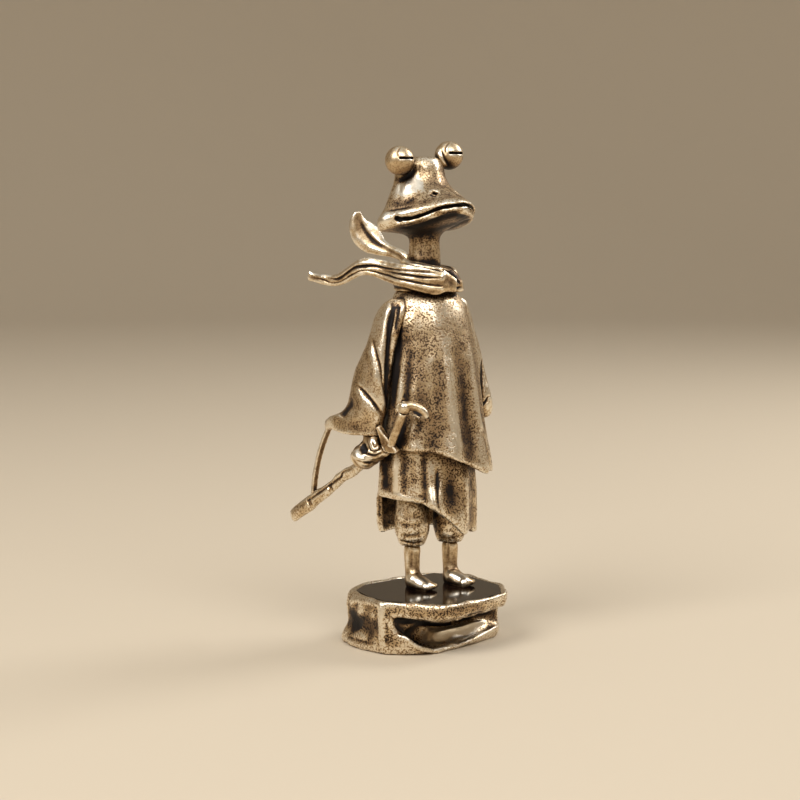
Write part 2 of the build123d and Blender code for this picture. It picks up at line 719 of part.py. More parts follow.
def scabbard_throat(gap):
    """Section of the scabbard where the fist holds it."""
    Ellipse(scabbard_hold_share * scabbard_thickness / 2 + gap, scabbard_hold_share * scabbard_width / 2 + gap)


with BuildPart() as scabbard:
    with BuildSketch(sword_axis.offset(fist_start)):
        scabbard_throat(0)
    extrude(amount=fist_length)
    with BuildSketch(sword_axis.offset(fist_length / 2)):
        scabbard_throat(0)
    for along_share, width_share, thick_share in scabbard_ring_shares:
        with BuildSketch(sword_axis.offset(along_share * scabbard_length)):
            Ellipse(thick_share * scabbard_thickness / 2, width_share * scabbard_width / 2)
    loft()
    with Locations(sword_axis.offset(fist_start)):
        Cylinder(pin_radius / 2 + solder_gap, 2 * (pin_length + solder_gap), mode=Mode.SUBTRACT)

wrist_end = level(-recess_shares[1] * sleeve_reach, (hand_back + recess_shares[2] * sleeve_sweep) / 2,
                  sleeve_mouth_z + sleeve_recess)

knuckle_share = 0.56

with BuildPart() as right_hand:
    knuckle = knuckle_share * fist_length / finger_count
    knuckle_pitch = (fist_length - 2 * knuckle) / (finger_count - 1)
    fist_axis = Plane(sword_axis * Location((0, -fist_lift, 0)))
    for i in range(finger_count):
        with Locations(fist_axis.offset(fist_start + knuckle + i * knuckle_pitch)):
            Torus(fist_radius - knuckle, knuckle)
    with Locations(fist_axis):
        Cylinder(fist_radius - knuckle, fist_length - 2 * knuckle)
    with BuildSketch(level(-hand_out, hand_back, hand_z)):
        Circle(wrist_radius)
    with BuildSketch(wrist_end):
        Circle(wrist_radius)
    loft()
    with BuildSketch(sword_axis.offset(-fist_length)):
        scabbard_throat(solder_gap)
    extrude(amount=2 * fist_length, mode=Mode.SUBTRACT)
    for neighbour in (robe_hollow, outer_robe, right_sleeve):
        add(neighbour.part, mode=Mode.SUBTRACT)
    with Locations(wrist_end.offset(tenon_length / 2)):
        Cylinder(pin_radius, tenon_length)

with right_sleeve:
    with Locations(wrist_end):
        Cylinder(pin_radius + solder_gap, 2 * (tenon_length + solder_gap), mode=Mode.SUBTRACT)

# Hilt, canted up from the scabbard's line
mouth_plane = sword_axis.offset(fist_start)
hilt_root = sword_axis.offset(guard_start).origin
grip_axis = Plane(origin=hilt_root, x_dir=(1, 0, 0),
                  z_dir=(0, -cos(radians(grip_pitch)), sin(radians(grip_pitch))))
# Guard outline: towards the grip, and up towards the sleeve
guard_outline_shares = ((0.0, 0.20), (0.35, 0.45), (0.70, 0.80), (0.98, 0.74), (0.95, 0.42), (1.0, 0.20),
                        (1.0, -0.18), (1.05, -0.40), (0.75, -0.42), (0.0, -0.20))
guard_out = sword_axis.y_dir * sin(radians(guard_cant)) - sword_axis.x_dir * cos(radians(guard_cant))
guard_face = Plane(origin=mouth_plane.origin, x_dir=-sword_axis.z_dir, z_dir=guard_out)

with BuildPart() as sword_guard:
    with BuildSketch(guard_face):
        Polygon(*[(ahead * guard_depth, rise * guard_span) for ahead, rise in guard_outline_shares], align=None)
    extrude(amount=guard_thickness / 2, both=True)
    with Locations(mouth_plane):
        Cylinder(pin_radius / 2, 2 * pin_length)
    with Locations(grip_axis):
        Cylinder(pin_radius / 2 + solder_gap, 2 * (pin_length + solder_gap), mode=Mode.SUBTRACT)

with BuildPart() as sword_grip:
    with Locations(grip_axis.offset((grip_length - grip_radius) / 2)):
        Cylinder(grip_radius, grip_length + grip_radius)
    add(sword_guard.part, mode=Mode.SUBTRACT)
    with Locations(grip_axis):
        Cylinder(pin_radius / 2, 2 * pin_length)
    with Locations(grip_axis.offset(grip_length)):
        Cylinder(pin_radius / 2, 2 * pin_length)

pommel_axis = grip_axis.offset(grip_length + pommel_radius)
# Hook of the pommel: inwards, ahead, up, and radius
hook_shares = (
    (0.0, 0.0, 0.0, 0.85),
    (0.22, 0.20, 0.06, 0.72),
    (0.48, 0.44, -0.06, 0.60),
    (0.70, 0.64, -0.42, 0.34),
)
hook_route = [pommel_axis.origin + Vector(inward * pommel_hook, -ahead * pommel_hook, up * pommel_hook)
              for inward, ahead, up, _ in hook_shares]

with BuildPart() as sword_pommel:
    for plane, row in zip(station_planes(hook_route, [upright] * len(hook_route)), hook_shares):
        with BuildSketch(plane):
            Circle(row[3] * pommel_radius)
    loft()
    with Locations(pommel_axis):
        Sphere(pommel_radius)
    add(sword_grip.part, mode=Mode.SUBTRACT)
    with Locations(grip_axis.offset(grip_length)):
        Cylinder(pin_radius / 2 + solder_gap, 2 * (pin_length + solder_gap), mode=Mode.SUBTRACT)

# Strap from the top of the scabbard to the back of the right sleeve's mouth
strap_along_share = 0.715
strap_bow_share = 0.08
strap_seat = Location((0, -scabbard_width / 2 + strap_thickness, strap_along_share * scabbard_length))
strap_foot = (sword_axis * strap_seat).position
strap_head = level(-sleeve_reach, sleeve_sweep + (sleeve_mouth_length - sleeve_wall) / 2,
                   sleeve_mouth_z + strap_thickness).origin
strap_bow = (strap_foot + strap_head) / 2 + Vector(0, strap_bow_share * (strap_head - strap_foot).length, 0)

with BuildPart() as sword_strap:
    strap_route = (strap_foot, strap_bow, strap_head)
    for plane in station_planes(strap_route, [(1, 0, 0)] * len(strap_route)):
        with BuildSketch(plane):
            Rectangle(strap_width, strap_thickness)
    loft()
    for neighbour in (scabbard, right_sleeve):
        add(neighbour.part, mode=Mode.SUBTRACT)

pieces = {
    "rock_base": rock_base,
    "rock_top_lacquer": rock_top_lacquer,
    "right_foot": feet["right"],
    "left_foot": feet["left"],
    "right_trouser_leg": trousers["right"],
    "left_trouser_leg": trousers["left"],
    "under_robe": under_robe,
    "outer_robe": outer_robe,
    "right_sleeve": right_sleeve,
    "left_sleeve": left_sleeve,
    "head": head,
    "right_eye": eyes["right"],
    "left_eye": eyes["left"],
    "scarf_wrap": scarf_wrap,
    "scarf_front_tail": scarf_front_tail,
    "scarf_back_tail": scarf_back_tail,
    "right_hand": right_hand,
    "scabbard": scabbard,
    "sword_guard": sword_guard,
    "sword_grip": sword_grip,
    "sword_pommel": sword_pommel,
    "sword_strap": sword_strap,
}
for label, piece in pieces.items():
    piece.part.label = label
    export_step(piece.part, f"parts/{label}.step")
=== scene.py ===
"""Cast brass frog figurine on a rock: its worked surfaces and finishes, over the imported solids.

Metres, +Z up, in the part's own frame.  Each casting is skinned finely from its solid and then worked as
a wax is before it is cast: creases are pressed in, ridges raised and the skin softened.  Lengths in the
tables are millimetres, and lines drawn from the front are points of the 800 pixel picture, laid on the
casting's near side.
"""

import math

import bpy
import numpy as np
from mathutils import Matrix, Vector, noise
from mathutils.bvhtree import BVHTree
from mathutils.kdtree import KDTree


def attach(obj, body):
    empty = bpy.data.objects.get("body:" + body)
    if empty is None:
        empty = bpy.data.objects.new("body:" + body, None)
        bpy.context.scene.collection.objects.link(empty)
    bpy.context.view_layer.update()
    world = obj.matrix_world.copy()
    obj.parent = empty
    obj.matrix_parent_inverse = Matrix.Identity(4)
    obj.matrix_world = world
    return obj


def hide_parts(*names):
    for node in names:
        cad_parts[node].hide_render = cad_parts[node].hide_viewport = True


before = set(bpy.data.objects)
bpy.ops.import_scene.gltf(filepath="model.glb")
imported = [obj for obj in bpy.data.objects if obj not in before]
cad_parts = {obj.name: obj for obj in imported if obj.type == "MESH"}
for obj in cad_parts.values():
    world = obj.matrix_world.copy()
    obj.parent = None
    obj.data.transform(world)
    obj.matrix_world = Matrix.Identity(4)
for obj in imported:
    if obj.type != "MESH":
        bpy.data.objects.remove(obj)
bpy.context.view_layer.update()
scene = bpy.context.scene
MM = 0.001

# Camera: its place in millimetres, its heading from +Y towards +X, its tilt down, and its picture in pixels
CAMERA_PLACE = np.array((-219.69, -242.51, 80.0))
CAMERA_HEADING = math.radians(42)
CAMERA_TILT = math.radians(6.27)
PICTURE_WIDTH = 800
PICTURE_FOCUS = 1840
PICTURE_MIDDLE = (428, 400)
SENSOR_WIDTH = 36

ahead = np.array((math.sin(CAMERA_HEADING) * math.cos(CAMERA_TILT),
                  math.cos(CAMERA_HEADING) * math.cos(CAMERA_TILT), -math.sin(CAMERA_TILT)))
rightward = np.array((math.cos(CAMERA_HEADING), -math.sin(CAMERA_HEADING), 0))
upward = np.cross(rightward, ahead)


def sight(x, y):
    """Direction of the line of sight through a point of the picture."""
    line = ahead * PICTURE_FOCUS + rightward * (x - PICTURE_MIDDLE[0]) + upward * (PICTURE_MIDDLE[1] - y)
    return line / np.linalg.norm(line)


def eased(points, steps=6):
    """A smooth line through the given points, as a hand draws it."""
    points = np.array(points, float)
    if len(points) == 1:
        return points
    padded = np.vstack((2 * points[0] - points[1], points, 2 * points[-1] - points[-2]))
    drawn = []
    for before, start, end, after in zip(padded, padded[1:], padded[2:], padded[3:]):
        bend = 2 * before - 5 * start + 4 * end - after
        twist = 3 * start - before - 3 * end + after
        for t in np.arange(steps) / steps:
            drawn.append(0.5 * (2 * start + (end - before) * t + bend * t ** 2 + twist * t ** 3))
    return np.vstack(drawn + [points[-1]])


# The robe's hem runs on over the skirt's folds at the back, as a strip about the body axis: the turns that it
# spans in degrees, its heights, wall, columns and rows, the two heights of the robe whose slope it carries
# down, and a distance outside the robe from which these are felt
BODY_AXIS = (2.5, 3.4)
BACK_HEM_TURNS = (48, 138)
BACK_HEM_HEIGHTS = (35.3, 39.2)
BACK_HEM_WALL = 1.0
BACK_HEM_COLUMNS = 46
BACK_HEM_ROWS = 8
SLOPE_HEIGHTS = (38.6, 40.6)
OUTSIDE_ROBE = 40


def back_hem(robe):
    """Points and faces of the strip of hem, carried down at the slope of the robe above it, in metres."""
    points, faces = [], []
    turns = np.radians(np.linspace(*BACK_HEM_TURNS, BACK_HEM_COLUMNS))
    heights = np.linspace(*BACK_HEM_HEIGHTS, BACK_HEM_ROWS)
    low, high = SLOPE_HEIGHTS
    for turn in turns:
        outward = np.array((math.cos(turn), math.sin(turn), 0))
        reach = []
        for height in SLOPE_HEIGHTS:
            middle = np.array((*BODY_AXIS, height))
            hit = robe.ray_cast((middle + OUTSIDE_ROBE * outward) * MM, -outward)[0]
            reach.append(np.linalg.norm(np.array(hit) / MM - middle))
        slope = (reach[0] - reach[1]) / (high - low)
        for height in heights:
            outer = reach[0] + (low - height) * slope
            for radius in (outer, outer - BACK_HEM_WALL):
                points.append(tuple((np.array((*BODY_AXIS, height)) + radius * outward) * MM))
    ring = 2 * len(heights)
    loop = [*range(0, ring, 2), *range(ring - 1, 0, -2)]
    for i in range(len(turns) - 1):
        for a, b in zip(loop, loop[1:] + loop[:1]):
            faces.append((i * ring + a, (i + 1) * ring + a, (i + 1) * ring + b, i * ring + b))
    faces.append(tuple(loop))
    faces.append(tuple((len(turns) - 1) * ring + corner for corner in reversed(loop)))
    return points, faces


# A tool reaches three widths from its line, fades over a quarter of the line at either end, and touches the
# near side only, less and less as the skin turns away
TOOL_REACH = 3
END_FADE = 4
TURN_FADE = 3
TURN_START = 0.6
SMOOTHING_SHARE = 0.8
RIBBON_REACH = 6


class Casting:
    """The fine skin of one casting, in millimetres, with the tools that work it."""

    def __init__(self, node, grain, smoothing, addition=None):
        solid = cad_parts[node].data
        wax = bpy.data.meshes.new(node + "_wax")
        points = [tuple(vertex.co) for vertex in solid.vertices]
        faces = [tuple(face.vertices) for face in solid.polygons]
        if addition:
            added_points, added_faces = addition(BVHTree.FromPolygons(points, faces))
            faces += [tuple(len(points) + corner for corner in face) for face in added_faces]
            points += added_points
        wax.from_pydata(points, [], faces)
        rough = bpy.data.objects.new(node + "_rough", wax)
        scene.collection.objects.link(rough)
        remesh = rough.modifiers.new("skin", "REMESH")
        remesh.mode = "VOXEL"
        remesh.voxel_size = grain * MM
        graph = bpy.context.evaluated_depsgraph_get()
        self.mesh = bpy.data.meshes.new_from_object(rough.evaluated_get(graph))
        self.mesh.name = node + "_cast"
        bpy.data.objects.remove(rough)
        bpy.data.meshes.remove(wax)
        self.faces = [tuple(face.vertices) for face in self.mesh.polygons]
        self.read()
        self.soften(smoothing)
        # Painted highlights and shade, with some buffing, that the drawn lines lay on later
        self.buffing_and_painted_light = np.zeros(len(self.place))

    def read(self):
        """Takes the places, edges and neighbour counts of the skin's vertices."""
        count = len(self.mesh.vertices)
        self.place = np.zeros(count * 3)
        self.mesh.vertices.foreach_get("co", self.place)
        self.place = self.place.reshape(-1, 3) / MM
        self.edges = np.zeros(len(self.mesh.edges) * 2, np.int64)
        self.mesh.edges.foreach_get("vertices", self.edges)
        self.edges = self.edges.reshape(-1, 2)
        self.valence = np.bincount(self.edges.ravel(), minlength=count)

    def settle(self):
        """Writes the worked places back and returns the normals there."""
        self.mesh.vertices.foreach_set("co", (self.place * MM).ravel())
        self.mesh.update()
        normals = np.zeros(self.place.size)
        self.mesh.vertex_normals.foreach_get("vector", normals)
        return normals.reshape(-1, 3)

    def around(self, values):
        """Mean of each vertex's neighbours."""
        one, other = self.edges.T
        count = len(values)
        columns = [np.bincount(one, column[other], count) + np.bincount(other, column[one], count)
                   for column in values.T]
        return np.stack(columns, 1) / self.valence[:, None]

    def soften(self, rounds, share=0.6):
        """Rubs the skin smooth, by a share for all of it or for each vertex."""
        for _ in range(rounds):
            self.place += share * (self.around(self.place) - self.place)

    def relief(self, rounds):
        """How far the skin stands out of its softened self: positive on ridges, negative in hollows."""
        soft = self.place.copy()
        for _ in range(rounds):
            soft = self.around(soft)
        return ((self.place - soft) * self.settle()).sum(1)

    def lay(self, lines):
        """Points of lines drawn on the picture, laid on this casting's near side."""
        tree = BVHTree.FromPolygons(self.place.tolist(), self.faces)
        routes = []
        for line in lines:
            hits = [tree.ray_cast(CAMERA_PLACE, sight(x, y))[0] for x, y in eased(line)]
            routes.append(np.array([hit for hit in hits if hit is not None]))
        return routes

    def follow(self, route, reach):
        """Vertices within reach of a route, their offsets from it, and how far along it they are, 0 to 1."""
        inside = (self.place > route.min(0) - reach) & (self.place < route.max(0) + reach)
        near = np.flatnonzero(inside.all(1))
        nearest = np.full(len(near), np.inf)
        offset = np.zeros((len(near), 3))
        along = np.zeros(len(near))
        runs = max(len(route) - 1, 1)
        for order in range(runs):
            start, end = route[order], route[min(order + 1, len(route) - 1)]
            run = end - start
            share = np.clip(((self.place[near] - start) @ run) / max(run @ run, 1e-9), 0, 1)
            away = self.place[near] - start - share[:, None] * run
            gap = np.linalg.norm(away, axis=1)
            closer = gap < nearest
            nearest[closer] = gap[closer]
            offset[closer] = away[closer]
            along[closer] = (order + share[closer]) / runs
        return near, offset, along

    def touch(self, width, route, normals):
        """How strongly a tool of the given width touches each vertex, on the near side and along a route."""
        strength = np.zeros(len(self.place))
        near, offset, along = self.follow(route, TOOL_REACH * width)
        strength[near] = np.exp(-(offset ** 2).sum(1) / width ** 2)
        if len(route) > 1:
            strength[near] *= np.clip(END_FADE * np.minimum(along, 1 - along), 0, 1)
        return strength * np.clip(normals @ -ahead * TURN_FADE + TURN_START, 0, 1)

    def smooth(self, rounds, width, line):
        """Rubs the skin smooth around a drawn line."""
        route = self.lay([line])[0]
        near, offset, _ = self.follow(route, TOOL_REACH * width)
        share = np.zeros((len(self.place), 1))
        share[near, 0] = SMOOTHING_SHARE * np.exp(-(offset ** 2).sum(1) / width ** 2)
        self.soften(rounds, share)

    def pull(self, strokes):
        """Draws the wax to the right, up and nearer as the picture shows it, around the drawn lines."""
        routes = self.lay([stroke[-1] for stroke in strokes])
        for (_, right, up, nearer, width, _), route in zip(strokes, routes):
            near, offset, _ = self.follow(route, TOOL_REACH * width)
            strength = np.exp(-(offset ** 2).sum(1) / width ** 2)
            self.place[near] += strength[:, None] * (right * rightward + up * upward - nearer * ahead)

    def widen(self, line, share):
        """Broadens a ribbon across its drawn middle line, most at the middle of its length."""
        route = self.lay([line])[0]
        near, offset, along = self.follow(route, RIBBON_REACH)
        across = np.cross(route[-1] - route[0], ahead)
        across /= np.linalg.norm(across)
        self.place[near] += across * ((offset @ across) * share * np.sin(math.pi * along))[:, None]

    def tool(self, strokes):
        """Presses the drawn creases in, and raises the ridges, whose depths are negative."""
        routes = self.lay([stroke[-1] for stroke in strokes])
        for (_, depth, width, _), route in zip(strokes, routes):
            normals = self.settle()
            self.place -= normals * (depth * self.touch(width, route, normals))[:, None]

    def buff_and_paint_light(self, strokes):
        """Paints the drawn places bright and those with negative amounts dark: painted highlights and painted
        shade, with some buffing of the black finish.
        """
        normals = self.settle()
        routes = self.lay([stroke[-1] for stroke in strokes])
        for (_, amount, width, _), route in zip(strokes, routes):
            self.buffing_and_painted_light += amount * self.touch(width, route, normals)

    def ripple(self, height, size):
        """The uneven skin of the mould: gentle swells of the given height and size."""
        swells = np.array([noise.noise(place) for place in self.place / size])
        self.place += self.settle() * (height * swells)[:, None]


# Grain of the skin in millimetres, rounds of softening, and the height and size of its swells
SKINS = {
    "rock_base": (0.26, 14, 0.3, 2.6),
    "right_foot": (0.14, 80, 0.05, 1.0),
    "left_foot": (0.14, 80, 0.05, 1.0),
    "right_trouser_leg": (0.17, 4, 0.1, 1.5),
    "left_trouser_leg": (0.17, 4, 0.1, 1.5),
    "under_robe": (0.2, 3, 0.07, 1.8),
    "outer_robe": (0.22, 3, 0.06, 2.2),
    "right_sleeve": (0.19, 3, 0.08, 2.0),
    "left_sleeve": (0.2, 3, 0.08, 2.0),
    "head": (0.17, 4, 0.07, 1.4),
    "right_eye": (0.12, 2, 0.02, 1.5),
    "left_eye": (0.12, 2, 0.02, 1.5),
    "scarf_wrap": (0.17, 4, 0.05, 1.2),
    "scarf_front_tail": (0.14, 3, 0.06, 1.0),
    "scarf_back_tail": (0.14, 4, 0.06, 1.5),
    "right_hand": (0.14, 45, 0.05, 1.0),
    "scabbard": (0.14, 6, 0.2, 2.4),
    "sword_guard": (0.11, 4, 0.03, 1.0),
    "sword_grip": (0.11, 3, 0.04, 0.8),
    "sword_pommel": (0.11, 3, 0.03, 1.0),
    "sword_strap": (0.11, 3, 0.04, 1.0),
}
ADDITIONS = {"outer_robe": back_hem}
castings = {node: Casting(node, grain, rounds, ADDITIONS.get(node))
            for node, (grain, rounds, _, _) in SKINS.items()}
for node, (_, _, height, size) in SKINS.items():
    castings[node].ripple(height, size)


def smooth_out(places):
    """Rubs places smooth: each is a casting, rounds of rubbing, a width and a line on the picture."""
    for node, rounds, width, line in places:
        castings[node].smooth(rounds, width, line)


# The jaw runs into the neck in a wide fillet: place of the corner, height and reach of the fillet, and the
# rounds and share of its rubbing
NECK_CORNER = np.array((2.5, 5.2, 74.2))
NECK_FILLET = (1.7, 6.5)
NECK_ROUNDS = 160
NECK_SHARE = 0.9
head = castings["head"]
rise = np.abs(head.place[:, 2] - NECK_CORNER[2]) / NECK_FILLET[0]
spread = np.linalg.norm(head.place[:, :2] - NECK_CORNER[:2], axis=1) / NECK_FILLET[1]
head.soften(NECK_ROUNDS, NECK_SHARE * np.exp(-rise ** 2 - spread ** 4)[:, None])

# The skirt is drawn in where it passes under the back of the robe: by how much, the height where this starts
# and the rise to its full, the distance behind the body axis to its full, and the radius inside the wall
DRAWN_IN = 0.6
COVER_START = 33
COVER_RISE = 2
COVER_DEPTH = 3
INSIDE_WALL = 5
skirt = castings["under_robe"]
inward = np.array(BODY_AXIS) - skirt.place[:, :2]
away = np.linalg.norm(inward, axis=1)
risen = np.clip((skirt.place[:, 2] - COVER_START) / COVER_RISE, 0, 1)
behind = np.clip(-inward[:, 1] / COVER_DEPTH, 0, 1)
covered = risen * behind * (away > INSIDE_WALL)
skirt.place[:, :2] += inward / away[:, None] * (DRAWN_IN * covered)[:, None]

# The back end of the scarf broadens into a leaf: its middle line on the picture and the share that it gains
LEAF_LINE = [(358, 212), (357, 225), (363, 238), (374, 246), (388, 250)]
LEAF_SHARE = 0.7
castings["scarf_back_tail"].widen(LEAF_LINE, LEAF_SHARE)

# The gap between the robe and the right sleeve, and the strands of the scarf, run over two castings each
SLEEVE_GAP = [(393, 296), (392, 308), (389, 325), (388, 345), (387.5, 370), (387, 395), (387, 420)]
STRANDS = (
    ("first strand", 0.36, 0.24, [(318, 274.5), (330, 278.5), (338, 279), (346, 273.5), (354, 268),
                                  (363, 266.5), (373, 266), (386, 268.5), (400, 270), (420, 271.3),
                                  (432, 271.5), (442, 271)]),
    ("second strand", 0.32, 0.22, [(380, 269.5), (395, 273.2), (407, 275.3), (421, 277.3), (434, 278),
                                   (445, 278)]),
    ("third strand", 0.4, 0.25, [(310, 277.5), (322, 279.5), (331, 283), (340, 281), (350, 275.5),
                                 (360, 271.5), (371, 271.5), (386, 275), (396, 278.3), (411, 281.3),
                                 (426, 284.3), (440, 286), (451, 287)]),
)

# Wax drawn out of each casting: what it is, millimetres to the right, up and nearer, width, and line on the
# picture
PULLS = {
    "head": (("underside of the jaw", 0.0, 0.5, 0.0, 1.4, [(452, 229), (464, 223)]),),
    "scarf_wrap": (("bunch on the far shoulder", 1.5, -0.4, 0.0, 1.9, [(453, 278), (456, 288)]),),
    "under_robe": (
        ("side hem", -0.5, -1.6, 1.4, 2.2, [(441, 498), (450, 506), (459, 514), (467, 521)]),
        ("left side", -0.9, 0.0, 0.0, 2.6, [(387, 460), (387, 490)]),
        ("back flap", -0.9, 0.0, 0.0, 2.6, [(385, 500), (385, 520)]),
    ),
    "right_sleeve": (("corner of the cuff", -0.2, 0.9, 0.0, 1.5, [(330, 425), (337, 423)]),),
    "right_hand": (("heel of the hand", -0.3, -0.7, 0.0, 1.4, [(358, 459), (366, 463)]),),
    "scabbard": (("knob by the hand", -0.2, 0.7, 0.0, 1.2, [(345, 476), (338, 480)]),),
}
for node, strokes in PULLS.items():
    castings[node].pull(strokes)
smooth_out((
    ("scarf_wrap", 90, 2.0, [(447, 268), (457, 278), (460, 288)]),
    ("head", 60, 1.3, [(382, 218), (386, 222)]),
))

# Swells of each casting before its lines are cut: what it is, depth and width in millimetres, and line on the
# picture
SWELLS = {
    "head": (
        ("cheek", -0.4, 1.3, [(383, 220)]),
        ("brow", -0.3, 1.8, [(400, 188), (412, 185), (424, 182)]),
    ),
    "right_foot": (("shoe", -0.9, 1.5, [(404, 575), (414, 581), (425, 586), (438, 590)]),),
    "left_foot": (("shoe", -0.9, 1.5, [(442, 571), (452, 577), (462, 581), (472, 584)]),),
    "right_hand": (("back of the hand", -0.9, 1.1, [(355, 441), (355, 452), (360, 458), (370, 463)]),),
    "scabbard": (
        ("waist", 0.3, 1.0, [(332, 486), (327, 488)]),
        ("second waist", 0.25, 0.9, [(311, 501), (307, 504)]),
    ),
    "rock_base": (
        ("stone in the cave", -2.6, 3.0, [(415, 634), (432, 637), (450, 633), (475, 626), (502, 614)]),
    ),
}
for node, strokes in SWELLS.items():
    castings[node].tool(strokes)
smooth_out((
    ("rock_base", 40, 2.6, [(410, 630), (432, 637), (450, 633), (475, 626), (500, 615)]),
))

